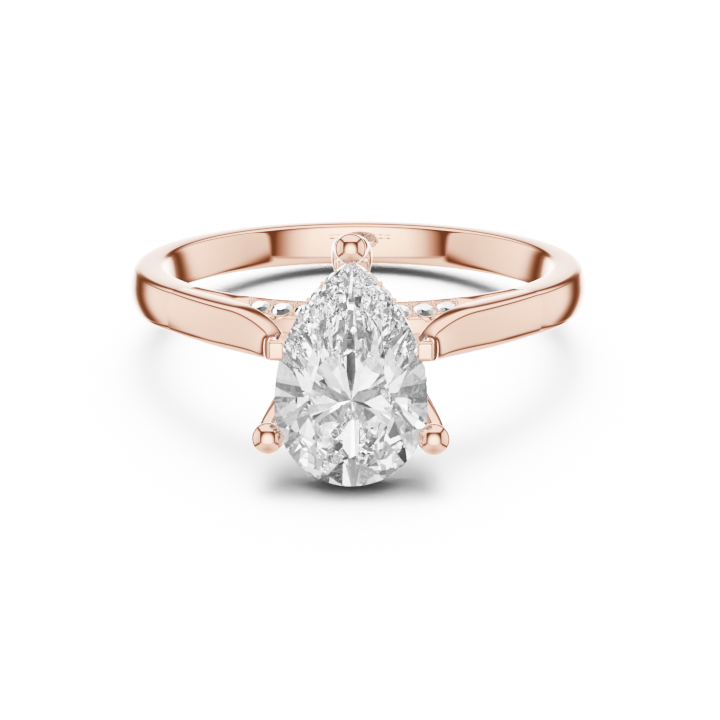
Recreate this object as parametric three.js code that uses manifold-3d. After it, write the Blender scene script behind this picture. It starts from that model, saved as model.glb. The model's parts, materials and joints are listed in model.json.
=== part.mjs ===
// A pear-cut solitaire engagement ring in rose gold, in millimetres.
//
// Every piece is modelled in the ring's own frame: the finger goes along Z, X runs across the hand and
// the centre stone faces -Y. The finished ring is then tipped so that it lies on a table, resting on the
// back of its band and on the rounded end of its stone.

import * as THREE from 'three';
import { ConvexGeometry } from 'three/addons/geometries/ConvexGeometry.js';
import { mergeVertices } from 'three/addons/utils/BufferGeometryUtils.js';
import Module from 'manifold-3d';

const wasm = await Module();
wasm.setup();

const { degToRad, lerp, smoothstep } = THREE.MathUtils;

// ---------- driving dimensions ----------

const SEAM = 0.015; // solder line left between two pieces of metal

const band = {
  bore: 8.25, // inner radius of a US size 6
  thickness: 1.47,
  halfWidth: 0.915,
  edge: 0.3, // rounding of all four edges
  splitAngle: degToRad(50), // from the front, where the band parts into an arm and the bridge
};
band.outer = band.bore + band.thickness;

const bridge = {
  rootRadius: 9.0, // outer radius where it leaves the band
  crestRadius: 9.7, // outer radius under the head
  crestHalfWidth: 0.42, // flat front face between the two sloping pave faces
  riseStart: degToRad(38), // the outer face rises between these angles from the front
  riseEnd: degToRad(24),
  slopeStart: degToRad(31), // and the pave faces slope off between these
  slopeEnd: degToRad(27),
  shoulderRadius: 8.55, // where the sloping faces begin
};

const arm = {
  edge: 0.25,
  endY: -11.75,
  endTop: 0.25, // the upper face dips towards the tab
  endBottom: -0.75,
};

const tabWidth = 0.92; // along the finger
const tabMiddleZ = -0.24; // a little towards the rounded end, where the pear is wider

const stone = {
  halfWidth: 3.0,
  tipZ: 3.27,
  wideZ: -2.52,
  endZ: -5.76,
  tableY: -12.83,
  girdleTopY: -11.87,
  girdleBottomY: -11.74,
  culetY: -9.1,
};

const halo = {
  inset: 0.1, // outer face of the rail inside the edge of the stone
  depth: 0.36,
  frontY: -11.35,
  backY: -10.55,
  meleeRadius: 0.36,
};

const bridgeRow = { first: 24.3, pitch: 6.2 }; // degrees from the front

// Places round the outline, as the share of the way from the tip along the +X side and back.
const haloRow = {
  stones: [0.05, 0.087, 0.124, 0.236, 0.27, 0.304, 0.376, 0.411, 0.445, 0.48],
  grains: [0.0685, 0.1055, 0.253, 0.287, 0.3935, 0.428, 0.4625, 0.4985],
};

const bead = { radius: 0.1, fromRow: 0.36 }; // raised grains that hold the small stones

const melee = { radius: 0.42, crown: 0.13, girdle: 0.05, pavilion: 0.34 };

const tipBall = { centre: new THREE.Vector3(0, -12.1, 3.8), radius: 0.6 };
const lowerBall = { centre: new THREE.Vector3(3.25, -12.1, -3.77), radius: 0.63 };

// ---------- materials ----------

const roseGold = (lightness = 0) =>
  new THREE.MeshStandardMaterial({
    color: new THREE.Color(0xe3b098).offsetHSL(0, 0, lightness),
    roughness: 0.12,
    metalness: 1,
  });

const diamond = () =>
  new THREE.MeshStandardMaterial({ color: 0xeef1f4, roughness: 0.03, metalness: 0 });

// ---------- solid helpers ----------

/** A closed geometry from rings of points, each ring given the same way round, with flat end caps. */
function loft(rings, closed = false) {
  const count = rings[0].length;
  const points = rings.flat();
  const faces = [];
  const strips = closed ? rings.length : rings.length - 1;
  for (let i = 0; i < strips; i++) {
    const here = i * count;
    const next = ((i + 1) % rings.length) * count;
    for (let j = 0; j < count; j++) {
      const k = (j + 1) % count;
      faces.push(here + j, next + j, here + k);
      faces.push(here + k, next + j, next + k);
    }
  }
  if (!closed) {
    for (let j = 1; j < count - 1; j++) {
      const last = (rings.length - 1) * count;
      faces.push(0, j, j + 1);
      faces.push(last, last + j + 1, last + j);
    }
  }
  const geometry = new THREE.BufferGeometry().setFromPoints(points);
  geometry.setIndex(faces);
  return facingOut(geometry);
}

/** Turns every face over if the geometry encloses a negative volume. */
function facingOut(geometry) {
  const index = geometry.index.array;
  const at = (n) => new THREE.Vector3().fromBufferAttribute(geometry.attributes.position, n);
  let volume = 0;
  for (let i = 0; i < index.length; i += 3) {
    const [a, b, c] = [at(index[i]), at(index[i + 1]), at(index[i + 2])];
    volume += a.dot(b.cross(c));
  }
  if (volume < 0) {
    for (let i = 0; i < index.length; i += 3) {
      [index[i], index[i + 1]] = [index[i + 1], index[i]];
    }
  }
  return geometry;
}

/** A three.js geometry as a solid that can be cut and joined. */
function toSolid(geometry) {
  const bare = new THREE.BufferGeometry().setAttribute('position', geometry.attributes.position);
  bare.setIndex(geometry.index);
  const merged = mergeVertices(bare, 1e-4);
  return new wasm.Manifold(
    new wasm.Mesh({
      numProp: 3,
      vertProperties: new Float32Array(merged.attributes.position.array),
      triVerts: new Uint32Array(merged.index.array),
    }),
  );
}

function toGeometry(solid) {
  const mesh = solid.getMesh();
  const geometry = new THREE.BufferGeometry();
  geometry.setAttribute('position', new THREE.BufferAttribute(mesh.vertProperties, 3));
  geometry.setIndex(new THREE.BufferAttribute(mesh.triVerts, 1));
  return geometry;
}

const join = (geometries) =>
  toGeometry(geometries.map(toSolid).reduce((whole, solid) => whole.add(solid)));

const cut = (geometry, cutters) =>
  toGeometry(cutters.map(toSolid).reduce((rest, tool) => rest.subtract(tool), toSolid(geometry)));

/** Corners of a rounded rectangle, as [across, along] pairs about its centre. */
function roundedRectangle(width, height, radius, steps = 3) {
  const corners = [];
  for (let quarter = 0; quarter < 4; quarter++) {
    const signX = quarter === 0 || quarter === 3 ? 1 : -1;
    const signY = quarter < 2 ? 1 : -1;
    for (let i = 0; i <= steps; i++) {
      const angle = (quarter + i / steps) * (Math.PI / 2);
      corners.push([
        signX * (width / 2 - radius) + radius * Math.cos(angle),
        signY * (height / 2 - radius) + radius * Math.sin(angle),
      ]);
    }
  }
  return corners;
}

/** A rounded rectangle laid between an inner and an outer point of the ring's plane. */
function barSection(inner, outer, halfWidth, edge) {
  const across = outer.clone().sub(inner);
  const thickness = across.length();
  across.normalize();
  const middle = inner.clone().add(outer).multiplyScalar(0.5);
  return roundedRectangle(thickness, 2 * halfWidth, edge).map(([u, z]) => {
    const point = middle.clone().addScaledVector(across, u);
    return new THREE.Vector3(point.x, point.y, z);
  });
}

/** A point of the ring's plane, at an angle measured from the front towards +X. */
const polar = (angle, radius) =>
  new THREE.Vector2(radius * Math.sin(angle), -radius * Math.cos(angle));

const mirrored = (geometry) => {
  const copy = geometry.clone().scale(-1, 1, 1);
  return facingOut(copy);
};

// ---------- the pear outline ----------

/** Half of the stone's outline, from the tip to the middle of the rounded end, on the +X side. */
const pearSide = (() => {
  const path = new THREE.CurvePath();
  path.add(
    new THREE.CubicBezierCurve(
      new THREE.Vector2(0, stone.tipZ),
      new THREE.Vector2(1.9, 1.8),
      new THREE.Vector2(stone.halfWidth, 0.1),
      new THREE.Vector2(stone.halfWidth, stone.wideZ),
    ),
  );
  path.add(
    new THREE.EllipseCurve(
      0, stone.wideZ, stone.halfWidth, stone.wideZ - stone.endZ, 0, -Math.PI / 2, true,
    ),
  );
  return path;
})();

/** A point of the outline at t from 0 to 1: tip, +X side, rounded end at 0.5, -X side, back to the tip. */
function pearPoint(t, outset = 0) {
  const turn = THREE.MathUtils.euclideanModulo(t, 1);
  const side = turn <= 0.5 ? 1 : -1;
  const along = turn <= 0.5 ? 2 * turn : 2 * (1 - turn);
  const point = pearSide.getPointAt(along);
  const tangent = pearSide.getTangentAt(along);
  const normal = along === 0 ? new THREE.Vector2(0, 1) : new THREE.Vector2(-tangent.y, tangent.x);
  if (along === 1) normal.set(0, -1);
  point.addScaledVector(normal, outset);
  return new THREE.Vector2(side * point.x, point.y);
}

/** A ring of outline points, drawn in towards the culet by a scale, at one depth. */
function pearRing(count, scale, y, shift = 0) {
  return Array.from({ length: count }, (_, i) => {
    const point = pearPoint((i + shift) / count);
    return new THREE.Vector3(
      scale * point.x, y, stone.wideZ + scale * (point.y - stone.wideZ),
    );
  });
}

// ---------- metal ----------

/** The plain band: everything behind the two places where it parts into arm and bridge. */
function shankGeometry() {
  const steps = 60;
  const gap = SEAM / band.outer;
  const rings = [];
  for (let i = 0; i <= steps; i++) {
    const angle = lerp(band.splitAngle + gap, 2 * Math.PI - band.splitAngle - gap, i / steps);
    rings.push(
      barSection(polar(angle, band.bore), polar(angle, band.outer), band.halfWidth, band.edge),
    );
  }
  return loft(rings);
}

/** The +X cathedral arm: it peels off the band and sweeps up to the side of the stone. */
function armGeometry() {
  const root = band.splitAngle;
  const outer = new THREE.CubicBezierCurve(
    polar(root, band.outer),
    new THREE.Vector2(4.9, -9.3),
    new THREE.Vector2(3.3, -10.2),
    new THREE.Vector2(3.3, arm.endY),
  );
  const inner = new THREE.CubicBezierCurve(
    polar(root, bridge.rootRadius + SEAM),
    new THREE.Vector2(4.7, -8.2),
    new THREE.Vector2(2.92, -9.9),
    new THREE.Vector2(2.6, -11.35),
  );
  const steps = 16;
  const rings = [];
  for (let i = 0; i <= steps; i++) {
    const t = i / steps;
    const top = lerp(band.halfWidth, arm.endTop, smoothstep(t, 0.45, 1.1));
    const bottom = lerp(-band.halfWidth, arm.endBottom, smoothstep(t, 0.8, 1));
    const ring = barSection(inner.getPoint(t), outer.getPoint(t), (top - bottom) / 2, arm.edge);
    rings.push(ring.map((p) => new THREE.Vector3(p.x, p.y, p.z + (top + bottom) / 2)));
  }
  return loft(rings);
}

/** Section of the bridge at an angle from the front, grown all round by a clearance. */
function bridgeSection(angle, grow = 0) {
  const rise = smoothstep(-Math.abs(angle), -bridge.riseStart, -bridge.riseEnd);
  const slope = smoothstep(-Math.abs(angle), -bridge.slopeStart, -bridge.slopeEnd);
  const outer = lerp(bridge.rootRadius, bridge.crestRadius, rise) + grow;
  const crest = lerp(band.halfWidth, bridge.crestHalfWidth, slope) + grow;
  const wide = band.halfWidth + grow;
  const inner = band.bore - grow;
  const half = [
    [inner, 0.68 + grow],
    [inner + 0.09, 0.83 + grow],
    [inner + 0.24, wide],
    [bridge.shoulderRadius, wide],
    [outer, crest],
  ];
  const whole = [...half, ...half.map(([radius, z]) => [radius, -z]).reverse()];
  return whole.map(([radius, z]) => {
    const point = polar(angle, radius);
    return new THREE.Vector3(point.x, point.y, z);
  });
}

function bridgeBlank(grow = 0) {
  const steps = 28;
  const rings = [];
  for (let i = 0; i <= steps; i++) {
    const angle = lerp(-band.splitAngle, band.splitAngle, i / steps);
    rings.push(bridgeSection(angle, grow));
  }
  return loft(rings);
}

/** A round wire of changing radius along a curve, closed by flat ends. */
function wire(curve, radii, steps = 12, sides = 12) {
  const frames = curve.computeFrenetFrames(steps, false);
  const rings = [];
  for (let i = 0; i <= steps; i++) {
    const centre = curve.getPointAt(i / steps);
    const [wide, deep] = radii(i / steps);
    const ring = [];
    for (let j = 0; j < sides; j++) {
      const angle = (j / sides) * 2 * Math.PI;
      ring.push(
        centre
          .clone()
          .addScaledVector(frames.normals[i], wide * Math.cos(angle))
          .addScaledVector(frames.binormals[i], deep * Math.sin(angle)),
      );
    }
    rings.push(ring);
  }
  return loft(rings);
}

const ballGeometry = (ball) =>
  new THREE.SphereGeometry(ball.radius, 20, 14).translate(...ball.centre.toArray());

/** The prong at the tip: a ball on a broad U-shaped body that runs back and down to the bridge. */
function tipProngGeometry(grow = 0) {
  const curve = new THREE.CubicBezierCurve3(
    new THREE.Vector3(0, -12.0, 3.75),
    new THREE.Vector3(0, -11.2, 3.9),
    new THREE.Vector3(0, -9.9, 3.6),
    new THREE.Vector3(0, -9.1, 0.5),
  );
  const body = wire(curve, (t) => {
    const halfWidth = lerp(0.58, 0.8, smoothstep(t, 0, 0.22)) - 0.42 * smoothstep(t, 0.25, 1);
    return [halfWidth + grow, lerp(0.45, 0.4, t) + grow];
  });
  return join([body, ballGeometry({ ...tipBall, radius: tipBall.radius + grow })]);
}

/** The +X lower prong: a ball on a wire that runs back and in to the underside of the bridge. */
function lowerProngGeometry(grow = 0) {
  const curve = new THREE.CubicBezierCurve3(
    lowerBall.centre,
    new THREE.Vector3(3.38, -11.3, -3.95),
    new THREE.Vector3(3.35, -10.2, -3.75),
    new THREE.Vector3(1.2, -9.1, -0.5),
  );
  const body = wire(curve, () => [0.38 + grow, 0.38 + grow]);
  return join([body, ballGeometry({ ...lowerBall, radius: lowerBall.radius + grow })]);
}

/** The flat tab that closes the end of the +X arm over the edge of the stone. */
function sideTabGeometry() {
  const outline = new THREE.Shape();
  outline.moveTo(3.24, arm.endY - SEAM);
  outline.lineTo(3.24, -12.2);
  outline.quadraticCurveTo(3.2, -12.38, 3.05, -12.4);
  outline.lineTo(2.72, -12.42);
  outline.quadraticCurveTo(2.58, -12.42, 2.56, -12.27);
  outline.lineTo(2.9, -12.0);
  outline.lineTo(2.93, arm.endY - SEAM);
  outline.closePath();
  const bevel = 0.08;
  const geometry = new THREE.ExtrudeGeometry(outline, {
    depth: tabWidth - 2 * bevel,
    bevelEnabled: true,
    bevelThickness: bevel,
    bevelSize: 0.06,
    bevelOffset: -0.06,
    bevelSegments: 2,
    curveSegments: 4,
  });
  geometry.translate(0, 0, tabMiddleZ - (tabWidth - 2 * bevel) / 2);
  return mergeVertices(geometry.deleteAttribute('normal').deleteAttribute('uv'), 1e-4);
}

/** The rail of the hidden halo: a pear-shaped hoop just behind the edge of the stone. */
function railBlank() {
  const count = 72;
  const rings = [];
  for (let i = 0; i < count; i++) {
    const t = i / count;
    const out = pearPoint(t, -halo.inset);
    const mid = new THREE.Vector2(0, stone.wideZ);
    const inward = out.clone().sub(mid).normalize();
    const inn = out.clone().addScaledVector(inward, -halo.depth);
    rings.push([
      new THREE.Vector3(out.x, halo.frontY, out.y),
      new THREE.Vector3(out.x, halo.backY, out.y),
      new THREE.Vector3(inn.x, halo.backY, inn.y),
      new THREE.Vector3(inn.x, halo.frontY, inn.y),
    ]);
  }
  return loft(rings, true);
}

// ---------- stones ----------

/**
 * The pear brilliant: table, star and bezel facets, girdle, and a pavilion that meets in a culet.
 * With a clearance it is the seat that the metal leaves for it.
 */
function centreStoneGeometry(clearance = 0) {
  const grown = 1 + clearance / stone.halfWidth;
  const tableY = stone.tableY - clearance;
  const girdleTopY = stone.girdleTopY - clearance;
  const girdleBottomY = stone.girdleBottomY + clearance;
  const culetY = stone.culetY + 2 * clearance;
  return new ConvexGeometry([
    ...pearRing(8, 0.56 * grown, tableY),
    ...pearRing(8, 0.79 * grown, lerp(girdleTopY, tableY, 0.56), 0.5),
    ...pearRing(32, grown, girdleTopY),
    ...pearRing(32, grown, girdleBottomY),
    ...pearRing(8, 0.32 * grown, lerp(girdleBottomY, culetY, 0.7), 0.5),
    new THREE.Vector3(0, culetY, stone.wideZ),
  ]);
}

/** A small round stone, girdle in its XZ plane and table towards +Y, or the seat drilled for it. */
function meleeGeometry(radius, clearance = 0) {
  const scale = (radius + clearance) / melee.radius;
  const top = clearance > 0 ? 1.5 * melee.crown : melee.crown;
  const tableRadius = clearance > 0 ? melee.radius : 0.56 * melee.radius;
  const profile = [
    [0, -melee.pavilion],
    [melee.radius, 0],
    [melee.radius, melee.girdle],
    [tableRadius, melee.girdle + top],
    [0, melee.girdle + top],
  ];
  return new THREE.LatheGeometry(
    profile.map(([r, y]) => new THREE.Vector2(r * scale, y * scale)), 8,
  );
}

/** Low domes of metal between the stones of a row, for one edge of the row. */
function beadGeometries(places) {
  return places.map((place) =>
    new THREE.IcosahedronGeometry(bead.radius, 0).translate(...place.toArray()),
  );
}

/** Grains on the bridge: one pair between neighbouring stones and one pair at each end of a row. */
function bridgeBeads() {
  const places = [];
  const fall = (band.halfWidth - bridge.crestHalfWidth) / (bridge.crestRadius - bridge.shoulderRadius);
  for (const face of [1, -1]) {
    for (const side of [1, -1]) {
      for (let i = 0; i < 4; i++) {
        const angle = side * degToRad(bridgeRow.first + bridgeRow.pitch * (0.5 - i));
        for (const offset of [-bead.fromRow, bead.fromRow]) {
          const radius = (bridge.crestRadius + bridge.shoulderRadius) / 2 + offset;
          const spot = polar(angle, radius);
          const z = band.halfWidth - fall * (radius - bridge.shoulderRadius);
          places.push(new THREE.Vector3(spot.x, spot.y, face * z));
        }
      }
    }
  }
  return beadGeometries(places);
}

/** Grains on the rail: one pair after each stone of a run. */
function haloBeads() {
  const places = [];
  for (const t of haloRow.grains) {
    for (const side of [1, -1]) {
      const point = pearPoint(t, -halo.inset);
      for (const offset of [-bead.fromRow + 0.04, bead.fromRow - 0.04]) {
        const y = (halo.frontY + halo.backY) / 2 + offset;
        places.push(new THREE.Vector3(side * point.x, y, point.y));
      }
    }
  }
  return beadGeometries(places);
}

/** Places for small stones on the bridge: three each side of the head, on both sloping faces. */
function bridgeSeats() {
  const seats = [];
  const faceAngle = Math.atan2(
    band.halfWidth - bridge.crestHalfWidth, bridge.crestRadius - bridge.shoulderRadius,
  );
  for (const [face, sign] of [['upper', 1], ['lower', -1]]) {
    for (const [side, mirror] of [['left', -1], ['right', 1]]) {
      for (let i = 0; i < 3; i++) {
        const angle = mirror * degToRad(bridgeRow.first - bridgeRow.pitch * i);
        const spot = polar(angle, (bridge.crestRadius + bridge.shoulderRadius) / 2 + 0.05);
        const out = polar(angle, 1);
        seats.push({
          name: `melee_bridge_${face}_${side}_${i + 1}`,
          radius: melee.radius,
          position: new THREE.Vector3(
            spot.x, spot.y, sign * ((band.halfWidth + bridge.crestHalfWidth) / 2 - 0.03),
          ),
          normal: new THREE.Vector3(
            out.x * Math.sin(faceAngle), out.y * Math.sin(faceAngle), sign * Math.cos(faceAngle),
          ),
        });
      }
    }
  }
  return seats;
}

/** Places for small stones round the hidden halo, clear of the arms and the prongs. */
function haloSeats() {
  const seats = [];
  for (const [side, mirror] of [['left', -1], ['right', 1]]) {
    haloRow.stones.forEach((t, i) => {
      const point = pearPoint(t, -halo.inset);
      const ahead = pearPoint(t + 0.002, -halo.inset);
      const tangent = ahead.clone().sub(point).normalize();
      const normal = new THREE.Vector3(-mirror * tangent.y, 0, tangent.x);
      seats.push({
        name: `melee_halo_${side}_${i + 1}`,
        radius: halo.meleeRadius,
        position: new THREE.Vector3(mirror * point.x, (halo.frontY + halo.backY) / 2, point.y),
        normal,
      });
    });
  }
  return seats;
}

const UP = new THREE.Vector3(0, 1, 0);

const seatCutter = (seat) => {
  const turn = new THREE.Quaternion().setFromUnitVectors(UP, seat.normal);
  return meleeGeometry(seat.radius, SEAM)
    .applyQuaternion(turn)
    .translate(...seat.position.toArray());
};

// ---------- assembly ----------

const ring = new THREE.Group();
ring.name = 'ring';

function addPiece(name, geometry, material) {
  const mesh = new THREE.Mesh(geometry, material);
  mesh.name = name;
  ring.add(mesh);
  return mesh;
}

const bridgeStones = bridgeSeats();
const haloStones = haloSeats();
const stoneGeometry = centreStoneGeometry();
const stoneSeat = centreStoneGeometry(SEAM);

addPiece('shank', shankGeometry(), roseGold());

const armRight = armGeometry();
addPiece('arm_right', cut(armRight, [stoneSeat]), roseGold(0.01));
addPiece('arm_left', cut(mirrored(armRight), [stoneSeat]), roseGold(0.01));

const bridgeBody = join([bridgeBlank(), ...bridgeBeads()]);
addPiece('bridge', cut(bridgeBody, bridgeStones.map(seatCutter)), roseGold(-0.01));

const fatBridge = bridgeBlank(SEAM);
const tipProng = tipProngGeometry();
const prongRight = lowerProngGeometry();
addPiece('prong_tip', cut(tipProng, [fatBridge, stoneSeat]), roseGold(0.005));
addPiece('prong_lower_right', cut(prongRight, [fatBridge, stoneSeat]), roseGold(0.005));
addPiece('prong_lower_left', cut(mirrored(prongRight), [fatBridge, stoneSeat]), roseGold(0.005));

const tab = sideTabGeometry();
addPiece('tab_right', cut(tab, [stoneSeat]), roseGold(0.02));
addPiece('tab_left', cut(mirrored(tab), [stoneSeat]), roseGold(0.02));

const fatProngRight = lowerProngGeometry(SEAM);
addPiece(
  'halo_rail',
  cut(join([railBlank(), ...haloBeads()]), [
    ...haloStones.map(seatCutter),
    tipProngGeometry(SEAM),
    fatProngRight,
    mirrored(fatProngRight),
    armRight,
    mirrored(armRight),
  ]),
  roseGold(-0.015),
);

addPiece('centre_stone', stoneGeometry, diamond());

for (const seat of [...bridgeStones, ...haloStones]) {
  const mesh = addPiece(seat.name, meleeGeometry(seat.radius), diamond());
  mesh.position.copy(seat.position);
  mesh.quaternion.setFromUnitVectors(UP, seat.normal);
}

// The ring lies on the back edge of its band and on the rounded end of its stone.
const backEdge = { y: band.outer - band.edge, z: -band.halfWidth };
const stoneEnd = { y: stone.girdleTopY, z: stone.endZ };
const restTilt = Math.atan2(backEdge.z - stoneEnd.z, backEdge.y - stoneEnd.y);
ring.rotation.x = -restTilt;

const part = new THREE.Group();
part.name = 'engagement_ring';
part.add(ring);

export default part;
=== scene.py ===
"""Looks for a pear-cut solitaire ring: polished rose gold, cut diamonds and a light tent.

Shapes are worked out in the ring's own frame in millimetres (finger along Z, centre stone towards -Y)
and then carried into the row frame, where the ring lies tipped on the table.
"""

import json
import math

import bmesh
import bpy
from mathutils import Matrix, Vector


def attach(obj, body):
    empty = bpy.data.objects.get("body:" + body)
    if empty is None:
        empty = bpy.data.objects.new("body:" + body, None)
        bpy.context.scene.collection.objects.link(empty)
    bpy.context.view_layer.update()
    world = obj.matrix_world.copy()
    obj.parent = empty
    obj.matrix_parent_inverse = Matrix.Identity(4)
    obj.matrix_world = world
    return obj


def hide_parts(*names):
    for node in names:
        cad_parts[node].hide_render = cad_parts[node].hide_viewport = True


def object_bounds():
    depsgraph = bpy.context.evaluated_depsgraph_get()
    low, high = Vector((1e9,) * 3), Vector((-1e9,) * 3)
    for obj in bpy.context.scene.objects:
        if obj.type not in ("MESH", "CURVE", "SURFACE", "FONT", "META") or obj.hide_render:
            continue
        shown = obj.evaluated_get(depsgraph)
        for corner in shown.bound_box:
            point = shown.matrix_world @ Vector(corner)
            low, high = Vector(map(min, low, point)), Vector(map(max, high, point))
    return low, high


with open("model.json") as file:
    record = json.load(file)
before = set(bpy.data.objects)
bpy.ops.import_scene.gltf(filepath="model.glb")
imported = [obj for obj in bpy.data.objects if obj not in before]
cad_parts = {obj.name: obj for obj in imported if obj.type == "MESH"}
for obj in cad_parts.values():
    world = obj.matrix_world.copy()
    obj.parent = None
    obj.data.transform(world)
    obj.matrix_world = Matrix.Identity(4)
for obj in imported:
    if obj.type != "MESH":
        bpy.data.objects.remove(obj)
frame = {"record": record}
cad_box = [list(corner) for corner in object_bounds()]

# ---------- driving dimensions, in millimetres ----------
# They follow the CAD part, except for the side tabs' width and middle and the halo stones' radius,
# which differ a little here.

BORE = 8.25
OUTER = 9.72
HALF_WIDTH = 0.915
EDGE = 0.28
SPLIT = math.radians(50)

ARM_ROOT = 9.0
ARM_END_TOP = 0.25
ARM_END_BOTTOM = -0.75
TAB_WIDTH = 0.8
TAB_MIDDLE = -0.2

CREST = 9.7
CREST_HALF_WIDTH = 0.42
SHOULDER = 8.55

STONE_HALF_WIDTH = 3.0
TIP_Z = 3.27
WIDE_Z = -2.52
END_Z = -5.76
TABLE_Y = -12.83
GIRDLE_TOP_Y = -11.87
GIRDLE_BOTTOM_Y = -11.74
CULET_Y = -9.1
CULET_Z = -2.4

RAIL_INSET = 0.1
RAIL_DEPTH = 0.36
RAIL_FRONT_Y = -11.35
RAIL_BACK_Y = -10.55
HALO_RADIUS = 0.31
HALO_SINK = 0.04  # how much deeper than the rail's face the halo stones sit
RAIL_MIDDLE_Y = (RAIL_FRONT_Y + RAIL_BACK_Y) / 2

ROW_FIRST = 24.3  # degrees from the front
ROW_PITCH = 6.2
ROW_STONES = 3  # on each side of the head
ROW_MIDDLE = (CREST + SHOULDER) / 2
PAVE_SLOPE = math.atan2(HALF_WIDTH - CREST_HALF_WIDTH, CREST - SHOULDER)
MELEE_RADIUS = 0.42
MELEE_GIRDLE = 0.05
MELEE_CROWN = 0.13
MELEE_PAVILION = 0.34
HALO_PLACES = (0.05, 0.087, 0.124, 0.236, 0.27, 0.304, 0.376, 0.411, 0.445, 0.48)
HALO_GRAINS = (0.0685, 0.1055, 0.253, 0.287, 0.3935, 0.428, 0.4625, 0.4985)

TIP_BALL = (Vector((0, -12.1, 3.8)), 0.6)
LOWER_BALL = (Vector((3.25, -12.1, -3.77)), 0.63)

finger = next(m for m in frame["record"]["mounts"] if m["name"] == "finger_hole")
TILT = math.atan2(finger["axis"][1], finger["axis"][2])
RING = Matrix.Rotation(-TILT, 4, "X") @ Matrix.Scale(0.001, 4)

# ---------- small helpers ----------


def lerp(a, b, t):
    return a + (b - a) * t


def smoothstep(x, low, high):
    t = min(max((x - low) / (high - low), 0), 1)
    return t * t * (3 - 2 * t)


def polar(angle, radius):
    """A point of the ring's plane, at an angle measured from the front towards +X."""
    return Vector((radius * math.sin(angle), -radius * math.cos(angle)))


def bezier(points, t):
    a, b, c, d = points
    s = 1 - t
    return a * s**3 + b * 3 * s * s * t + c * 3 * s * t * t + d * t**3


def new_object(name, points, faces, smooth=True, crease=50):
    """A mesh object in the row frame from points of the ring's frame."""
    mesh = bpy.data.meshes.new(name)
    mesh.from_pydata([RING @ Vector(p) for p in points], [], faces)
    bm = bmesh.new()
    bm.from_mesh(mesh)
    bmesh.ops.recalc_face_normals(bm, faces=bm.faces)
    bm.to_mesh(mesh)
    bm.free()
    mesh.polygons.foreach_set("use_smooth", [smooth] * len(mesh.polygons))
    if smooth:
        mesh.set_sharp_from_angle(angle=math.radians(crease))
    obj = bpy.data.objects.new(name, mesh)
    bpy.context.scene.collection.objects.link(obj)
    return obj


def loft(rings, closed=False):
    """Points and faces of a tube through rings of points, with flat ends unless it is closed."""
    count = len(rings[0])
    points = [p for ring in rings for p in ring]
    faces = []
    strips = len(rings) if closed else len(rings) - 1
    for i in range(strips):
        here = i * count
        there = (i + 1) % len(rings) * count
        for j in range(count):
            k = (j + 1) % count
            faces.append((here + j, there + j, there + k, here + k))
    if not closed:
        faces.append(tuple(range(count)))
        faces.append(tuple(range(len(points) - 1, len(points) - 1 - count, -1)))
    return points, faces


def joined(parts):
    """Several point and face lists as one."""
    points, faces = [], []
    for some_points, some_faces in parts:
        start = len(points)
        points += some_points
        faces += [tuple(start + i for i in face) for face in some_faces]
    return points, faces


def mirrored(part):
    points, faces = part
    return [Vector((-p[0], p[1], p[2])) for p in points], [tuple(reversed(f)) for f in faces]


def even_normals(obj):
    """Keeps flat stretches flat in the reflections beside their rounded edges."""
    obj.modifiers.new("even_normals", "WEIGHTED_NORMAL").weight = 100
    return obj


# ---------- the pear outline ----------


def pear_table(steps=400):
    """Points of half the outline on the +X side with the length of the way to each."""
    flank = (
        Vector((0, TIP_Z)),
        Vector((1.9, 1.8)),
        Vector((STONE_HALF_WIDTH, 0.1)),
        Vector((STONE_HALF_WIDTH, WIDE_Z)),
    )
    points = [bezier(flank, i / steps) for i in range(steps)]
    for i in range(steps + 1):
        angle = i / steps * math.pi / 2
        x = STONE_HALF_WIDTH * math.cos(angle)
        z = WIDE_Z - (WIDE_Z - END_Z) * math.sin(angle)
        points.append(Vector((x, z)))
    lengths = [0.0]
    for a, b in zip(points, points[1:]):
        lengths.append(lengths[-1] + (b - a).length)
    return points, lengths


PEAR_POINTS, PEAR_LENGTHS = pear_table()


def pear(t, outset=0.0):
    """Point and outward normal of the outline at t: tip 0, +X side, rounded end 0.5, -X side."""
    t %= 1.0
    side = 1 if t <= 0.5 else -1
    along = 2 * (t if t <= 0.5 else 1 - t) * PEAR_LENGTHS[-1]
    low, high = 0, len(PEAR_LENGTHS) - 1
    while high - low > 1:
        middle = (low + high) // 2
        low, high = (middle, high) if PEAR_LENGTHS[middle] <= along else (low, middle)
    span = PEAR_LENGTHS[high] - PEAR_LENGTHS[low]
    share = (along - PEAR_LENGTHS[low]) / span
    point = PEAR_POINTS[low].lerp(PEAR_POINTS[high], share)
    tangent = (PEAR_POINTS[high] - PEAR_POINTS[low]).normalized()
    normal = Vector((-tangent.y, tangent.x))
    if t == 0:
        normal = Vector((0, 1))
    elif t == 0.5:
        normal = Vector((0, -1))
    point = point + normal * outset
    return Vector((side * point.x, point.y)), Vector((side * normal.x, normal.y))


# ---------- cut stones ----------


def clip(polygons, origin, normal):
    """A convex body, as a list of polygons, cut by a plane whose normal side is taken away."""
    kept, rim = [], []
    for polygon in polygons:
        out = []
        for a, b in zip(polygon, polygon[1:] + polygon[:1]):
            da, db = (a - origin).dot(normal), (b - origin).dot(normal)
            if da <= 0:
                out.append(a)
            if (da < 0 < db) or (db < 0 < da):
                cut = a.lerp(b, da / (da - db))
                out.append(cut)
                rim.append(cut)
            elif da == 0:
                rim.append(a)
        if len(out) >= 3:
            kept.append(out)
    if len(rim) >= 3:
        centre = sum(rim, Vector()) / len(rim)
        across = (rim[0] - centre).normalized()
        beside = normal.cross(across)
        rim.sort(key=lambda p: math.atan2((p - centre).dot(beside), (p - centre).dot(across)))
        cap = [p for i, p in enumerate(rim) if (p - rim[i - 1]).length > 1e-6]
        if len(cap) >= 3:
            kept.append(cap)
    return kept


def plane_through(a, b, c, inside):
    normal = (b - a).cross(c - a).normalized()
    if (inside - a).dot(normal) > 0:
        normal = -normal
    return a, normal


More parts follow.
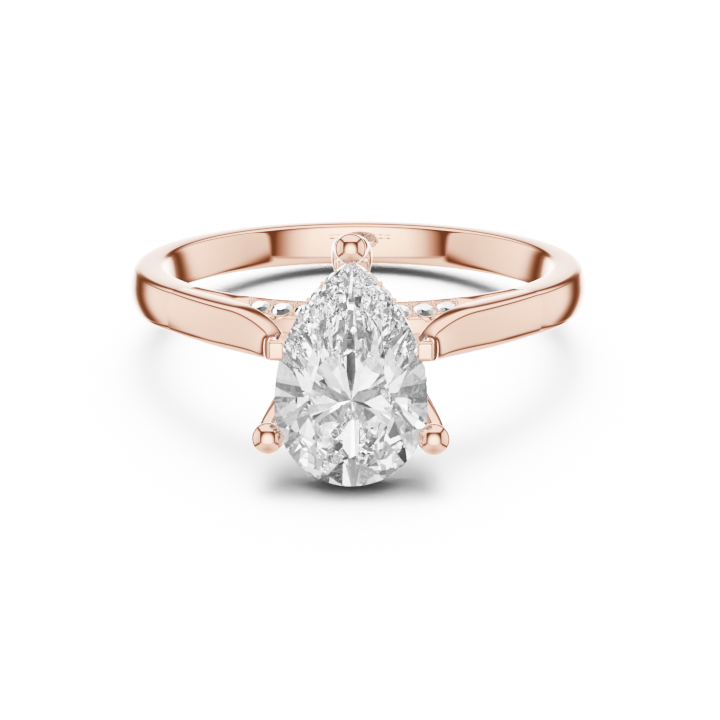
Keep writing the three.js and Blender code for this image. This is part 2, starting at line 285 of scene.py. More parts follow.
def meeting(p, u, q, v):
    """Where two lines of a plane meet, each given by a point and a direction."""
    cross = u.x * v.y - u.y * v.x
    t = ((q.x - p.x) * v.y - (q.y - p.y) * v.x) / cross
    return p + u * t


def rough_body(outline, centre, table_y, culet_y, girdle):
    """A prism of the outline, from the table to a little past the culet."""
    size = 3 * (outline(0.0)[0] - centre).length
    corners = [Vector((sx * size, 0, sz * size)) for sx, sz in ((1, 1), (-1, 1), (-1, -1), (1, -1))]
    low = [c + Vector((0, table_y, 0)) for c in corners]
    high = [c + Vector((0, culet_y + 0.5, 0)) for c in corners]
    body = [low, list(reversed(high))]
    for i in range(4):
        body.append([low[i - 1], low[i], high[i], high[i - 1]][::-1])
    for i in range(girdle):
        point, normal = outline((i + 0.5) / girdle)
        body = clip(body, Vector((point.x, 0, point.y)), Vector((normal.x, 0, normal.y)))
    return body


def brilliant(outline, centre, levels, mains, girdle, table=0.56, star=0.52, lower=0.78, culet_z=None):
    """A brilliant cut as polygons, with its girdle in XZ and its table towards -Y.

    outline(t) gives a girdle point and its outward normal. levels are the heights of the table, the
    girdle's two edges and the culet. mains are the places of the main facets round the outline. table, star
    and lower are shares: of the table's width, and of the way that star and lower facets reach.
    """
    table_y, top_y, bottom_y, culet_y = levels
    middle = Vector((centre.x, (top_y + bottom_y) / 2, centre.y))
    culet = Vector((centre.x, culet_y, centre.y if culet_z is None else culet_z))

    def at(point, y):
        return Vector((point.x, y, point.y))

    def along(normal):
        return Vector((-normal.y, normal.x))

    body = rough_body(outline, centre, table_y, culet_y, girdle)
    count = len(mains)
    for i, t in enumerate(mains):
        t_next = mains[(i + 1) % count]
        step = (t_next - t) % 1.0
        point, normal = outline(t)
        point_next, normal_next = outline(t_next)
        tangent = along(normal)
        corner = meeting(point, tangent, point_next, along(normal_next))
        table_corner = at(centre.lerp(point, table), table_y)
        table_next = at(centre.lerp(point_next, table), table_y)

        side = at(point + tangent, top_y)
        main = plane_through(at(point, top_y), side, table_corner, middle)
        main_next = plane_through(
            at(point_next, top_y), at(point_next + along(normal_next), top_y), table_next, middle
        )
        ridge = main[1].cross(main_next[1]).normalized()
        if ridge.y > 0:
            ridge = -ridge
        foot = at(corner, top_y)
        star_point = foot + ridge * (star * (table_y - top_y) / ridge.y)
        body = clip(body, *main)
        body = clip(body, *plane_through(table_corner, table_next, star_point, middle))
        body = clip(body, *plane_through(at(point, bottom_y), at(point + tangent, bottom_y), culet, middle))

        foot_of_main = at(corner, bottom_y).lerp(culet, lower)
        for share in (0.25, 0.75):
            half, half_normal = outline(t + share * step)
            beside = half + along(half_normal)
            body = clip(body, *plane_through(at(half, top_y), at(beside, top_y), star_point, middle))
            body = clip(body, *plane_through(at(half, bottom_y), at(beside, bottom_y), foot_of_main, middle))
    return body


def stone_mesh(polygons):
    """Points and faces of a cut stone, with shared corners merged."""
    places, points, faces = {}, [], []
    for polygon in polygons:
        face = []
        for p in polygon:
            key = (round(p.x, 4), round(p.y, 4), round(p.z, 4))
            if key not in places:
                places[key] = len(points)
                points.append(p)
            if not face or (places[key] != face[-1] and places[key] != face[0]):
                face.append(places[key])
        if len(face) >= 3:
            faces.append(tuple(face))
    return points, faces


def centre_stone():
    levels = (TABLE_Y, GIRDLE_TOP_Y, GIRDLE_BOTTOM_Y, CULET_Y)
    mains = [0.0, 0.14, 0.265, 0.385, 0.5, 0.615, 0.735, 0.86]
    polygons = brilliant(pear, Vector((0, WIDE_Z)), levels, mains, girdle=96, culet_z=CULET_Z)
    obj = new_object("centre_diamond", *stone_mesh(polygons), smooth=False)
    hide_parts("centre_stone")
    return obj


def melee_mesh():
    """A round brilliant of unit radius 1 mm, table towards -Y."""
    levels = (
        -(MELEE_GIRDLE + MELEE_CROWN) / MELEE_RADIUS,
        -MELEE_GIRDLE / MELEE_RADIUS,
        0.0,
        (MELEE_PAVILION - 0.01) / MELEE_RADIUS,
    )

    def outline(t):
        angle = 2 * math.pi * t
        normal = Vector((math.sin(angle), math.cos(angle)))
        return normal.copy(), normal

    mains = [i / 8 for i in range(8)]
    points, faces = stone_mesh(brilliant(outline, Vector((0, 0)), levels, mains, girdle=32))
    mesh = bpy.data.meshes.new("melee")
    mesh.from_pydata([p * 0.001 for p in points], [], faces)
    bm = bmesh.new()
    bm.from_mesh(mesh)
    bmesh.ops.recalc_face_normals(bm, faces=bm.faces)
    bm.to_mesh(mesh)
    bm.free()
    return mesh


def melee_seats():
    """Name, radius, place and normal of each small stone."""
    seats = []
    for face, sign in (("upper", 1), ("lower", -1)):
        for side, mirror in (("left", -1), ("right", 1)):
            for i in range(ROW_STONES):
                angle = mirror * math.radians(ROW_FIRST - ROW_PITCH * i)
                spot = polar(angle, ROW_MIDDLE + 0.05)
                out = polar(angle, 1)
                z = sign * ((HALF_WIDTH + CREST_HALF_WIDTH) / 2 - 0.03)
                lean = math.sin(PAVE_SLOPE)
                normal = Vector((out.x * lean, out.y * lean, sign * math.cos(PAVE_SLOPE)))
                name = f"melee_bridge_{face}_{side}_{i + 1}"
                seats.append((name, MELEE_RADIUS, Vector((spot.x, spot.y, z)), normal))
    for side, mirror in (("left", -1), ("right", 1)):
        for i, t in enumerate(HALO_PLACES):
            point, normal = pear(t, -RAIL_INSET - HALO_SINK)
            spot = Vector((mirror * point.x, RAIL_MIDDLE_Y, point.y))
            out = Vector((mirror * normal.x, 0, normal.y))
            seats.append((f"melee_halo_{side}_{i + 1}", HALO_RADIUS, spot, out))
    return seats


def melee_stones(seats, material):
    mesh = melee_mesh()
    mesh.materials.append(material)
    for name, radius, place, normal in seats:
        obj = bpy.data.objects.new(name.replace("melee", "brilliant"), mesh)
        turn = Vector((0, -1, 0)).rotation_difference(normal).to_matrix().to_4x4()
        rotation = Matrix.Rotation(-TILT, 4, "X") @ turn
        obj.matrix_world = Matrix.Translation(RING @ place) @ rotation @ Matrix.Scale(radius, 4)
        bpy.context.scene.collection.objects.link(obj)
        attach(obj, "root")
        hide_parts(name)
        obj.visible_transmission = False


# ---------- metal ----------


def bar_section(inner, outer, bottom, top, bulges, radii, steps=8):
    """A rounded bar between two points of the ring's plane, its inner and outer faces bulged.

    bulges and radii are each (inside, outside).
    """
    across = (outer - inner).normalized()
    thickness = (outer - inner).length
    middle, half = (top + bottom) / 2, (top - bottom) / 2
    outline = []
    sides = ((1, 1, thickness), (-1, 0, 0.0))
    for sign, which, edge in sides:
        radius, bulge = radii[which], bulges[which]
        lean = 2 * bulge / (half - radius)
        face_end = edge - sign * bulge
        for turn in range(-steps, steps + 1):
            share = abs(turn) / steps
            side = 1 if turn > 0 else -1
            angle = lerp(lean, math.pi / 2, max(0.0, 2 * share - 1))
            if share < 0.5:
                z = side * 2 * share * (half - radius * (1 - math.sin(lean)))
                drop = bulge * (2 * share) ** 2
                outline.append((edge - sign * drop, sign * z))
            else:
                z = half - radius + radius * math.sin(angle)
                drop = radius * (math.cos(lean) - math.cos(angle))
                outline.append((face_end - sign * drop, sign * side * z))
    section = []
    for u, z in outline:
        point = inner + across * u
        section.append(Vector((point.x, point.y, middle + z)))
    return section


SHOULDER_START = math.radians(96)  # from the front, where the band starts to thicken
SHOULDER_SWELL = 0.3
BAND_BULGE = 0.16
BAND_EDGE = 0.4


def band_outer(angle):
    """Outer radius of the band, which swells towards the shoulders."""
    return OUTER + SHOULDER_SWELL * smoothstep(-angle, -SHOULDER_START, -SPLIT)


ARM_OUTER = (
    polar(SPLIT, band_outer(SPLIT)),
    Vector((5.55, -9.58)),
    Vector((3.46, -10.6)),
    Vector((3.38, -11.75)),
)
ARM_INNER = (
    polar(SPLIT, ARM_ROOT),
    Vector((4.7, -8.2)),
    Vector((2.92, -9.9)),
    Vector((2.6, -11.35)),
)


def arm_rings(steps=56):
    """Sections of the +X arm from its root on the band to its end at the stone."""
    rings = []
    for i in range(steps + 1):
        t = i / steps
        top = lerp(HALF_WIDTH, ARM_END_TOP, smoothstep(t, 0.45, 1.1))
        bottom = lerp(-HALF_WIDTH, ARM_END_BOTTOM, smoothstep(t, 0.8, 1))
        bulge = lerp(BAND_BULGE, 0.03, smoothstep(t, 0, 0.4))
        outer_edge = lerp(BAND_EDGE, 0.44, t) - 0.16 * smoothstep(t, 0.8, 1)
        inner_edge = lerp(0.04, 0.2, smoothstep(t, 0.2, 0.6))
        section = bar_section(
            bezier(ARM_INNER, t),
            bezier(ARM_OUTER, t),
            bottom,
            top,
            (0.02, bulge),
            (inner_edge, outer_edge),
        )
        rings.append(section)
    return rings


def band():
    """The plain band behind the places where the arms begin."""
    rings = []
    steps = 220
    for i in range(steps + 1):
        angle = lerp(SPLIT, 2 * math.pi - SPLIT, i / steps)
        from_front = min(angle, 2 * math.pi - angle)
        roundness = smoothstep(from_front, SPLIT, SHOULDER_START)
        section = bar_section(
            polar(angle, BORE),
            polar(angle, band_outer(from_front)),
            -HALF_WIDTH,
            HALF_WIDTH,
            (0.06 * roundness, BAND_BULGE),
            (lerp(EDGE, 0.2, roundness), BAND_EDGE),
        )
        rings.append(section)
    obj = new_object("band", *loft(rings))
    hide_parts("shank")
    return obj


def arms():
    right = loft(arm_rings())
    made = []
    for side, part in (("right", right), ("left", mirrored(right))):
        obj = new_object(f"cathedral_arm_{side}", *part)
        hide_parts(f"arm_{side}")
        made.append(obj)
    return made


RISE_START, RISE_END = math.radians(38), math.radians(24)  # where the outer face rises, from the front
SLOPE_START, SLOPE_END = math.radians(31), math.radians(27)  # where the pave faces slope off
EASE = 0.02  # how far a sharp edge is cut back


def bridge_section(angle):
    """Outline of the bridge at an angle: rounded inside, sloping to its crest outside."""
    rise = smoothstep(-abs(angle), -RISE_START, -RISE_END)
    slope = smoothstep(-abs(angle), -SLOPE_START, -SLOPE_END)
    outer = lerp(ARM_ROOT, CREST, rise)
    crest = lerp(HALF_WIDTH - 0.002, CREST_HALF_WIDTH, slope)
    half = []
    steps = 7
    for i in range(steps + 1):
        turn = i / steps * math.pi / 2
        half.append((BORE + EDGE - EDGE * math.cos(turn), HALF_WIDTH - EDGE + EDGE * math.sin(turn)))
    half.append((SHOULDER + EASE, HALF_WIDTH))
    half.append((outer - EASE, lerp(HALF_WIDTH, crest + EASE / 2, 0.99)))
    half.append((outer, crest - EASE))
    whole = half + [(radius, -z) for radius, z in reversed(half)]
    return [Vector((*polar(angle, radius), z)) for radius, z in whole]


def cup(seat, height, wall, lip=0.0, steps=48):
    """The thin collar of metal round a small stone, with a lip that hangs over the bridge's crest."""
    _, radius, place, normal = seat
    turn = Vector((0, 0, 1)).rotation_difference(normal)
    crestward = Vector((place.x, place.y, 0)).normalized()
    rings = []
    for i in range(steps):
        angle = 2 * math.pi * i / steps
        way = turn @ Vector((math.cos(angle), math.sin(angle), 0))
        width = wall + lip * max(way.dot(crestward), 0.0) ** 2
        profile = (
            (radius + 0.01, -height),
            (radius + 0.01, 0.04),
            (radius + 0.3 * width, 0.09),
            (radius + 0.7 * width, 0.08),
            (radius + width, 0.01),
            (radius + width, -height),
        )
        rings.append([place + way * r + normal * z for r, z in profile])
    return loft(rings, closed=True)


def dome(place, normal, radius=0.1, steps=12):
    """A raised grain of metal that holds a small stone."""
    turn = Vector((0, 0, 1)).rotation_difference(normal)
    rings = []
    rows = 8
    for i in range(1, rows):
        tilt = math.pi * i / rows
        ring = []
        for j in range(steps):
            angle = 2 * math.pi * j / steps
            local = Vector(
                (
                    radius * math.sin(tilt) * math.cos(angle),
                    radius * math.sin(tilt) * math.sin(angle),
                    1.15 * radius * math.cos(tilt),
                )
            )
            ring.append(place + turn @ local)
        rings.append(ring)
    return loft(rings)


PAVE_GRAINS = (-0.36, -0.17, 0.33)  # grains between two bridge stones, outward from the row's middle
RAIL_GRAINS = (-0.28, -0.12, 0.12, 0.28)  # grains between two halo stones, from the rail's middle


def bridge(seats):
    """The stone-set front of the band, with a collar round each stone and grains between them."""
    steps = 120
    rings = [bridge_section(lerp(-SPLIT, SPLIT, i / steps)) for i in range(steps + 1)]
    parts = [loft(rings)]
    for seat in seats:
        if "bridge" in seat[0]:
            parts.append(cup(seat, height=0.3, wall=0.07, lip=0.16))
    for face in (1, -1):
        for side in (1, -1):
            for i in range(ROW_STONES + 1):
                angle = side * math.radians(ROW_FIRST + ROW_PITCH * (0.5 - i))
                for offset in PAVE_GRAINS:
                    radius = ROW_MIDDLE + offset
                    spot = polar(angle, radius)
                    z = HALF_WIDTH - math.tan(PAVE_SLOPE) * (radius - SHOULDER)
                    out = polar(angle, math.sin(PAVE_SLOPE))
                    normal = Vector((out.x, out.y, face * math.cos(PAVE_SLOPE)))
                    place = Vector((spot.x, spot.y, face * z)) + normal * 0.06
                    parts.append(dome(place, normal, radius=0.11))
    obj = even_normals(new_object("stone_set_bridge", *joined(parts)))
    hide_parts("bridge")
    return obj


def rail(seats):
    count = 160
    rings = []
    for i in range(count):
        t = i / count
        out, _ = pear(t, -RAIL_INSET)
        inward = (out - Vector((0, WIDE_Z))).normalized() * -RAIL_DEPTH
        inn = out + inward
        rings.append(
            [
                Vector((out.x, RAIL_FRONT_Y, out.y)),
                Vector((out.x, RAIL_BACK_Y, out.y)),
                Vector((inn.x, RAIL_BACK_Y, inn.y)),
                Vector((inn.x, RAIL_FRONT_Y, inn.y)),
            ]
        )
    parts = [loft(rings, closed=True)]
    for seat in seats:
        if "halo" in seat[0]:
            parts.append(cup(seat, height=0.1, wall=0.08))
    for t in HALO_GRAINS:
        for side in (1, -1):
            point, normal = pear(t, -RAIL_INSET + 0.02)
            for offset in RAIL_GRAINS:
                y = RAIL_MIDDLE_Y + offset
                place = Vector((side * point.x, y, point.y))
                parts.append(dome(place, Vector((side * normal.x, 0, normal.y)), radius=0.09))
    obj = new_object("hidden_halo_rail", *joined(parts))
    bevel = obj.modifiers.new("soft_edges", "BEVEL")
    bevel.width = 0.00004
    bevel.segments = 3
    even_normals(obj)
    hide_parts("halo_rail")
    return obj


def wire(curve, radii, steps=40, sides=28):
    """A wire along a cubic curve. radii(t) gives its half-width across X and its half-depth."""
    rings = []
    for i in range(steps + 1):
        t = i / steps
        centre = bezier(curve, t)
        ahead = (bezier(curve, min(t + 0.01, 1)) - bezier(curve, max(t - 0.01, 0))).normalized()
        across = (Vector((1, 0, 0)) - ahead * ahead.x).normalized()
        deep = ahead.cross(across)
        wide, thick = radii(t)
        ring = []
        for j in range(sides):
            angle = 2 * math.pi * j / sides
            ring.append(centre + across * wide * math.cos(angle) + deep * thick * math.sin(angle))
        rings.append(ring)
    return loft(rings)


def ball(centre, radius, rows=40, sides=48):
    rings = []
    for i in range(1, rows):
        tilt = math.pi * i / rows
        ring = []
        for j in range(sides):
            angle = 2 * math.pi * j / sides
            local = Vector(
                (math.sin(tilt) * math.cos(angle), -math.cos(tilt), math.sin(tilt) * math.sin(angle))
            )
            ring.append(centre + local * radius)
        rings.append(ring)
    return loft(rings)


def prongs():
    tip_curve = (
        Vector((0, -12.05, 3.78)),
        Vector((0, -11.0, 3.95)),
        Vector((0, -9.9, 3.3)),
        Vector((0, -9.1, 0.5)),
    )

    def tip_radii(t):
        half_width = lerp(0.56, 0.66, smoothstep(t, 0, 0.15)) + 0.14 * smoothstep(t, 0.1, 0.45)
        return half_width - 0.4 * smoothstep(t, 0.55, 1), lerp(0.5, 0.42, t)

    tip = joined([wire(tip_curve, tip_radii), ball(*TIP_BALL)])
    lower_curve = (
        LOWER_BALL[0],
        Vector((3.38, -11.3, -3.95)),
        Vector((3.35, -10.2, -3.75)),
        Vector((1.2, -9.1, -0.5)),
    )
    lower = joined([wire(lower_curve, lambda t: (0.46, 0.42)), ball(*LOWER_BALL)])
    made = []
    for name, stands_for, part in (
        ("tip_prong", "prong_tip", tip),
        ("lower_prong_right", "prong_lower_right", lower),
        ("lower_prong_left", "prong_lower_left", mirrored(lower)),
    ):
        obj = new_object(name, *part)
        seat = obj.modifiers.new("seat_for_the_stone", "BOOLEAN")
        seat.object = bpy.data.objects["centre_diamond"]
        seat.operation = "DIFFERENCE"
        seat.use_self = True
        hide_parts(stands_for)
        made.append(obj)
    return made


def side_tabs():
    outline = [
        (3.24, -11.3), (3.24, -12.42), (2.56, -12.44), (2.7, -12.1), (2.93, -11.9), (2.93, -11.3),
    ]
    made = []
    for side, mirror in (("right", 1), ("left", -1)):
        rings = []
        for z in (-TAB_WIDTH / 2, TAB_WIDTH / 2):
            rings.append([Vector((mirror * x, y, TAB_MIDDLE + z)) for x, y in outline])
        obj = new_object(f"side_tab_{side}", *loft(rings))
        bevel = obj.modifiers.new("rounded_rim", "BEVEL")
        bevel.width = 0.0002
        bevel.segments = 6
        bevel.limit_method = "ANGLE"
        bevel.angle_limit = math.radians(35)
        even_normals(obj)
        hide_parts(f"tab_{side}")
        made.append(obj)
    return made


# ---------- materials ----------


def node(tree, kind, **settings):
    made = tree.nodes.new(kind)
    for key, value in settings.items():
        setattr(made, key, value)
    return made


def noise(tree, place, scale, detail=2.0):
    made = node(tree, "ShaderNodeTexNoise")
    made.inputs["Scale"].default_value = scale
    made.inputs["Detail"].default_value = detail
    tree.links.new(place, made.inputs["Vector"])
    return made.outputs["Fac"]


def ramp(tree, share, low, high):
    made = node(tree, "ShaderNodeValToRGB")
    made.color_ramp.elements[0].color = (*low, 1)
    made.color_ramp.elements[1].color = (*high, 1)
    tree.links.new(share, made.inputs["Fac"])
    return made.outputs["Color"]


def rose_gold():
    """Polished metal with a slight drift of tone, a little haze and faint wear."""
    mat = bpy.data.materials.new("polished_rose_gold")
    mat.use_nodes = True
    tree = mat.node_tree
    shader = tree.nodes["Principled BSDF"]
    shader.inputs["Metallic"].default_value = 1.0
    place = node(tree, "ShaderNodeTexCoord").outputs["Object"]
    tone = noise(tree, place, 220.0, 3.0)
    colour = ramp(tree, tone, (0.94, 0.555, 0.425), (0.965, 0.59, 0.455))
    tree.links.new(colour, shader.inputs["Base Color"])
    haze = noise(tree, place, 900.0, 4.0)
    polish = node(tree, "ShaderNodeMapRange")
    polish.inputs["To Min"].default_value = 0.02
    polish.inputs["To Max"].default_value = 0.05
    tree.links.new(haze, polish.inputs["Value"])
    tree.links.new(polish.outputs["Result"], shader.inputs["Roughness"])
    wear = node(tree, "ShaderNodeBump")
    wear.inputs["Strength"].default_value = 0.02
    wear.inputs["Distance"].default_value = 0.00002
    tree.links.new(haze, wear.inputs["Height"])
    tree.links.new(wear.outputs["Normal"], shader.inputs["Normal"])
    return mat


def diamond():
    """Clear stone with a very faint cloud of tint."""
    mat = bpy.data.materials.new("cut_diamond")
    mat.use_nodes = True
    tree = mat.node_tree
    shader = tree.nodes["Principled BSDF"]
    shader.inputs["Transmission Weight"].default_value = 1.0
    shader.inputs["IOR"].default_value = 2.417
    shader.inputs["Roughness"].default_value = 0.0
    place = node(tree, "ShaderNodeTexCoord").outputs["Object"]
    tint = ramp(tree, noise(tree, place, 500.0), (0.965, 0.975, 1.0), (1.0, 0.99, 0.98))
    tree.links.new(tint, shader.inputs["Base Color"])
    return mat


def floor_paper():
    mat = bpy.data.materials.new("white_sweep")
    mat.use_nodes = True
    tree = mat.node_tree
    shader = tree.nodes["Principled BSDF"]
    shader.inputs["Roughness"].default_value = 0.9
    shader.inputs["Specular IOR Level"].default_value = 0.0
    grain = node(tree, "ShaderNodeTexNoise")
    grain.inputs["Scale"].default_value = 60.0
    shade = ramp(tree, grain.outputs["Fac"], (0.89, 0.89, 0.89), (0.91, 0.91, 0.91))
    tree.links.new(shade, shader.inputs["Base Color"])
    return mat


# ---------- camera, floor and light ----------

CAMERA_DISTANCE = 120.0
CAMERA_RISE = math.radians(13.4)  # above the ring's plane
CAMERA_YAW = math.radians(-1.37)
LENS = 139.35
AIM_ACROSS = 0.073  # where the camera looks, from the ring's centre, across and up the picture
AIM_UP = -3.38

FORWARD = Vector(
    (
        math.sin(CAMERA_YAW) * math.cos(CAMERA_RISE),
        math.cos(CAMERA_YAW) * math.cos(CAMERA_RISE),
        -math.sin(CAMERA_RISE),
    )
)
ACROSS = Vector((math.cos(CAMERA_YAW), -math.sin(CAMERA_YAW), 0))
UPWARD = ACROSS.cross(FORWARD)
TURN = Matrix.Rotation(-TILT, 3, "X")


def make_camera():
    data = bpy.data.cameras.new("camera")
    data.lens = LENS
    data.clip_start = 0.005
    data.clip_end = 10
    camera = bpy.data.objects.new("camera", data)
    bpy.context.scene.collection.objects.link(camera)
    aim = ACROSS * AIM_ACROSS + UPWARD * AIM_UP
    place = aim - FORWARD * CAMERA_DISTANCE
    axes = Matrix((TURN @ ACROSS, TURN @ UPWARD, TURN @ -FORWARD)).transposed().to_4x4()
    camera.matrix_world = Matrix.Translation(RING @ place) @ axes
    bpy.context.scene.camera = camera


def make_floor():
    mesh = bpy.data.meshes.new("sweep")
    half = 0.6
    z = cad_box[0][2]
    corners = [(-half, -half, z), (half, -half, z), (half, half, z), (-half, half, z)]
    mesh.from_pydata(corners, [], [(0, 1, 2, 3)])
    obj = bpy.data.objects.new("sweep", mesh)
    bpy.context.scene.collection.objects.link(obj)
    mesh.materials.append(floor_paper())
    obj.visible_glossy = False
    obj.visible_transmission = False


class Sums:
    """Short names for the maths nodes of one node tree."""

    def __init__(self, tree):
        self.tree = tree

    def feed(self, value, socket):
        if isinstance(value, (int, float)):
            socket.default_value = value
        elif isinstance(value, (tuple, Vector)):
            socket.default_value = tuple(value)
        else:
            self.tree.links.new(value, socket)

    def do(self, operation, *values, clamp=False):
        made = node(self.tree, "ShaderNodeMath", operation=operation, use_clamp=clamp)
        for value, socket in zip(values, made.inputs):
            self.feed(value, socket)
        return made.outputs[0]

    def vector(self, operation, *values):
        made = node(self.tree, "ShaderNodeVectorMath", operation=operation)
        for value, socket in zip(values, made.inputs):
            self.feed(value, socket)
        return made.outputs["Value" if operation == "DOT_PRODUCT" else "Vector"]

    def line(self, distance, width):
        """1 on a line, fading smoothly to 0 at about twice the width."""
        share = self.do("DIVIDE", distance, width)
        return self.do("EXPONENT", self.do("MULTIPLY", self.do("MULTIPLY", share, share), -1.0))

    def step(self, value, edge, softness):
        share = self.do("DIVIDE", self.do("SUBTRACT", value, edge), softness)
        return self.do("ADD", self.do("MULTIPLY", share, 0.5), 0.5, clamp=True)

    def mix(self, share, low, high):
        difference = self.do("SUBTRACT", high, low)
        return self.do("ADD", low, self.do("MULTIPLY", share, difference))


# The tent as a mirror ball shows it, on a disc of radius 1: x from the middle line, y upwards.
UPPER_SEAM = ((0.38, 0.37), (0.66, 0.66))
LOWER_SEAM = ((0.45, -0.27), (0.81, -0.47))
ARCH_HALF_WIDTH = 0.42  # of the front panel, whose edge fades
ARCH_HEIGHT = 0.66
ARCH_FOOT = 0.28  # below the middle
ARCH_POWER = 2.6
SILL_DROP = 0.335  # of the front panel's lower edge, in the middle
SILL_RISE = 0.35
FRAME_HALF_WIDTH = 0.475  # of the dark frame round the front panel
FRAME_TOP = 0.455
RIM_GAP = 0.94
BACK_START = 0.985
CRISP = 0.012  # softness of a hard edge

FRONT_LEVELS = (1.7, 2.7)  # at the edge and in the middle
SIDE_LEVELS = (1.5, 2.2)  # near the front and towards the back
TOP_LEVEL = 1.9
UNDER_LEVELS = (1.55, 0.95)  # at large and in the darker pool
GAP_LEVEL = 0.16
BACK_LEVEL = 3.6


def on_disc(s, direction):
    """Where a mirror ball shows a direction: how far from the middle line, how high, and the radius."""
    half = s.vector("NORMALIZE", s.vector("ADD", direction, TURN @ -FORWARD))
    x = s.do("ABSOLUTE", s.vector("DOT_PRODUCT", half, TURN @ ACROSS))
    y = s.vector("DOT_PRODUCT", half, TURN @ UPWARD)
    radius = s.do("SQRT", s.do("ADD", s.do("MULTIPLY", x, x), s.do("MULTIPLY", y, y)))
    return x, y, radius


def above_seam(s, x, y, seam):
    """Distance from a slanting seam: more than 0 above it."""
    (x0, y0), (x1, y1) = seam
    run = Vector((x1 - x0, y1 - y0)).normalized()
    across = s.do("MULTIPLY", s.do("SUBTRACT", x, x0), -run.y)
    return s.do("ADD", across, s.do("MULTIPLY", s.do("SUBTRACT", y, y0), run.x))


def front_panel(s, x, y, over_sill):
    """How much of the front panel, and of the dark frame round it, lies in a direction."""
    arch_up = s.do("MAXIMUM", s.do("ADD", y, ARCH_FOOT), 0.0)
    arch = s.do(
        "ADD",
        s.do("POWER", s.do("DIVIDE", x, ARCH_HALF_WIDTH), ARCH_POWER),
        s.do("POWER", s.do("DIVIDE", arch_up, ARCH_HEIGHT), ARCH_POWER),
    )
    in_front = s.do("MULTIPLY", s.step(s.do("MULTIPLY", arch, -1.0), -0.75, 0.45), over_sill)
    box = s.do("MAXIMUM", s.do("SUBTRACT", x, FRAME_HALF_WIDTH), s.do("SUBTRACT", y, FRAME_TOP))
    in_frame = s.do("MULTIPLY", s.step(s.do("MULTIPLY", box, -1.0), 0.0, CRISP), over_sill)
    return in_front, in_frame


def outer_panels(s, x, y, upper, lower):
    """Brightness of the side, top and under panels."""
    outward = s.step(x, 0.8, 0.2)
    low = s.step(s.do("MULTIPLY", y, -1.0), 0.1, 0.35)
    side = s.do("SUBTRACT", s.mix(outward, *SIDE_LEVELS), s.do("MULTIPLY", low, 0.4))
    panels = s.mix(s.step(upper, 0.0, 0.01), side, TOP_LEVEL)
    from_pool = s.do("ADD", s.do("ABSOLUTE", s.do("ADD", y, 0.68)), s.do("MULTIPLY", x, 0.6))
    under = s.step(s.do("MULTIPLY", lower, -1.0), 0.0, 0.01)
    return s.mix(under, panels, s.mix(s.line(from_pool, 0.34), *UNDER_LEVELS))


def gaps(s, x, y, radius, upper, lower, from_sill):
    """How dark the gaps between the panels are in a direction, from 0 to 1."""
    past_corner = s.do("MULTIPLY", s.step(x, 0.40, 0.02), s.step(y, 0.38, 0.02))
    upper_gap = s.do("MULTIPLY", s.line(upper, 0.075), past_corner)
    lower_gap = s.do("MULTIPLY", s.line(lower, 0.065), s.step(x, 0.46, 0.02))
    beside_sill = s.step(s.do("MULTIPLY", x, -1.0), -0.46, 0.02)
    sill_gap = s.do("MULTIPLY", s.line(from_sill, 0.02), beside_sill)
    rim_gap = s.do("MULTIPLY", s.line(s.do("SUBTRACT", radius, RIM_GAP), 0.045), s.step(y, -0.5, 0.15))
    dark = s.do("MAXIMUM", upper_gap, s.do("MAXIMUM", lower_gap, rim_gap))
    return s.do("MAXIMUM", dark, s.do("MULTIPLY", sill_gap, 0.6))


def tent_light(tree):
    """Brightness of a light tent of six panels with dark gaps, by direction.

    It is laid out about the fixed direction from the ring towards the front, and stays put in the room.
    """
    s = Sums(tree)
    direction = node(tree, "ShaderNodeTexCoord").outputs["Generated"]
    x, y, radius = on_disc(s, direction)
    upper = above_seam(s, x, y, UPPER_SEAM)
    lower = above_seam(s, x, y, LOWER_SEAM)
    sill = s.do("SUBTRACT", s.do("MULTIPLY", s.do("MULTIPLY", x, x), SILL_RISE), SILL_DROP)
    from_sill = s.do("SUBTRACT", y, sill)
    in_front, in_frame = front_panel(s, x, y, s.step(from_sill, 0.0, CRISP))
    dark = s.do("MAXIMUM", gaps(s, x, y, radius, upper, lower, from_sill), in_frame)
    lit = s.mix(dark, outer_panels(s, x, y, upper, lower), GAP_LEVEL)
    lit = s.mix(in_front, lit, s.mix(s.line(radius, 0.34), *FRONT_LEVELS))
    return s.mix(s.step(radius, BACK_START, 0.025), lit, BACK_LEVEL)


STONE_CONTRAST = 11.0
STONE_MIDDLE = 1.45
STONE_DARKEST = 0.25
STONE_BRIGHTEST = 3.4
STONE_PATCHES = 0.15  # share of directions that are nearly black


def stone_light(tree):
    """Brightness that a ray leaving a stone finds: drifting greys with some dark patches.

    It is a pattern of its own, and not the tent.
    """
    s = Sums(tree)
    direction = node(tree, "ShaderNodeTexCoord").outputs["Generated"]
    drift = node(tree, "ShaderNodeTexNoise")
    drift.inputs["Scale"].default_value = 1.7
    drift.inputs["Detail"].default_value = 1.0
    tree.links.new(direction, drift.inputs["Vector"])
    contrast = s.do("MULTIPLY", s.do("SUBTRACT", drift.outputs["Fac"], 0.5), STONE_CONTRAST)
    raised = s.do("ADD", contrast, STONE_MIDDLE)
    soft = s.do("MINIMUM", s.do("MAXIMUM", raised, STONE_DARKEST), STONE_BRIGHTEST)
    patches = node(tree, "ShaderNodeTexVoronoi")
    patches.inputs["Scale"].default_value = 3.6
    tree.links.new(direction, patches.inputs["Vector"])
    split = node(tree, "ShaderNodeSeparateColor")
    tree.links.new(patches.outputs["Color"], split.inputs["Color"])
    lit = s.step(split.outputs["Red"], STONE_PATCHES, 0.03)
    return s.do("MAXIMUM", s.do("MULTIPLY", soft, lit), 0.03)


STONE_SHEEN = 0.15  # share of the tent's light that the outside of a stone reflects
AMBIENT = 0.3
OVERHEAD = 25.0
BACKDROP_LEVEL = 6.0


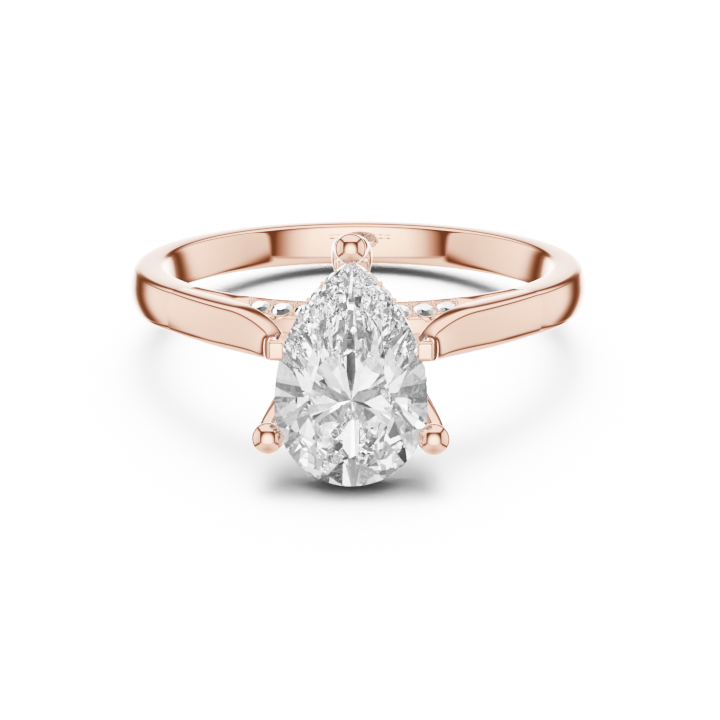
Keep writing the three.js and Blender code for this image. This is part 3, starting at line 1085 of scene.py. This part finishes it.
def make_world():
    """Different light for the gold, the stones, the table and the backdrop."""
    world = bpy.data.worlds.new("light_tent")
    bpy.context.scene.world = world
    world.use_nodes = True
    world.cycles.sampling_method = "NONE"
    tree = world.node_tree
    background = tree.nodes["Background"]
    s = Sums(tree)
    path = node(tree, "ShaderNodeLightPath")
    direction = node(tree, "ShaderNodeTexCoord").outputs["Generated"]
    level = tent_light(tree)
    in_stone = path.outputs["Is Transmission Ray"]
    off_gold = s.do("SUBTRACT", 1.0, path.outputs["Is Singular Ray"])
    mirrored_level = s.mix(off_gold, s.do("MULTIPLY", level, STONE_SHEEN), level)
    level = s.mix(in_stone, mirrored_level, stone_light(tree))
    zenith = s.do("MAXIMUM", s.vector("DOT_PRODUCT", direction, Vector((0, 0.28, 0.96))), 0.0)
    overhead = s.do("ADD", AMBIENT, s.do("MULTIPLY", s.do("POWER", zenith, 10.0), OVERHEAD))
    level = s.mix(path.outputs["Is Diffuse Ray"], level, overhead)
    level = s.mix(path.outputs["Is Camera Ray"], level, BACKDROP_LEVEL)
    tree.links.new(level, background.inputs["Strength"])
    warm = s.do("SUBTRACT", 1.0, s.step(mirrored_level, 0.75, 0.55))
    in_mirror = s.do("MULTIPLY", path.outputs["Is Glossy Ray"], off_gold)
    warm = s.do("MULTIPLY", warm, in_mirror)
    tint = node(tree, "ShaderNodeMix", data_type="RGBA")
    tree.links.new(warm, tint.inputs["Factor"])
    white, brown = (1, 1, 1, 1), (1, 0.42, 0.18, 1)
    tint.inputs[6].default_value = white
    tint.inputs[7].default_value = brown
    tree.links.new(tint.outputs[2], background.inputs["Color"])


def film_response(white=4.0, rate=1.2, points=10):
    """Highlights roll off as they do on film, so bright gold pales instead of clipping."""
    view = bpy.context.scene.view_settings
    view.view_transform = "Standard"
    view.use_curve_mapping = True
    mapping = view.curve_mapping
    mapping.white_level = (white,) * 3
    curve = mapping.curves[3]
    top = 1 - math.exp(-rate * white)
    for i in range(1, points):
        x = (i / points) ** 2
        curve.points.new(x, (1 - math.exp(-rate * white * x)) / top)
    mapping.update()


# ---------- assembly ----------

seats = melee_seats()
gold = rose_gold()
clear = diamond()

stone = centre_stone()
for piece in [band(), *arms(), bridge(seats), rail(seats), *prongs(), *side_tabs()]:
    piece.visible_glossy = False
    piece.visible_transmission = False
    piece.data.materials.append(gold)
    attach(piece, "root")

stone.data.materials.append(clear)
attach(stone, "root")
melee_stones(seats, clear)

make_floor()
make_camera()
make_world()
film_response()

cycles = bpy.context.scene.cycles
cycles.caustics_reflective = False
cycles.caustics_refractive = False
cycles.max_bounces = 48
cycles.glossy_bounces = 32
cycles.transmission_bounces = 48
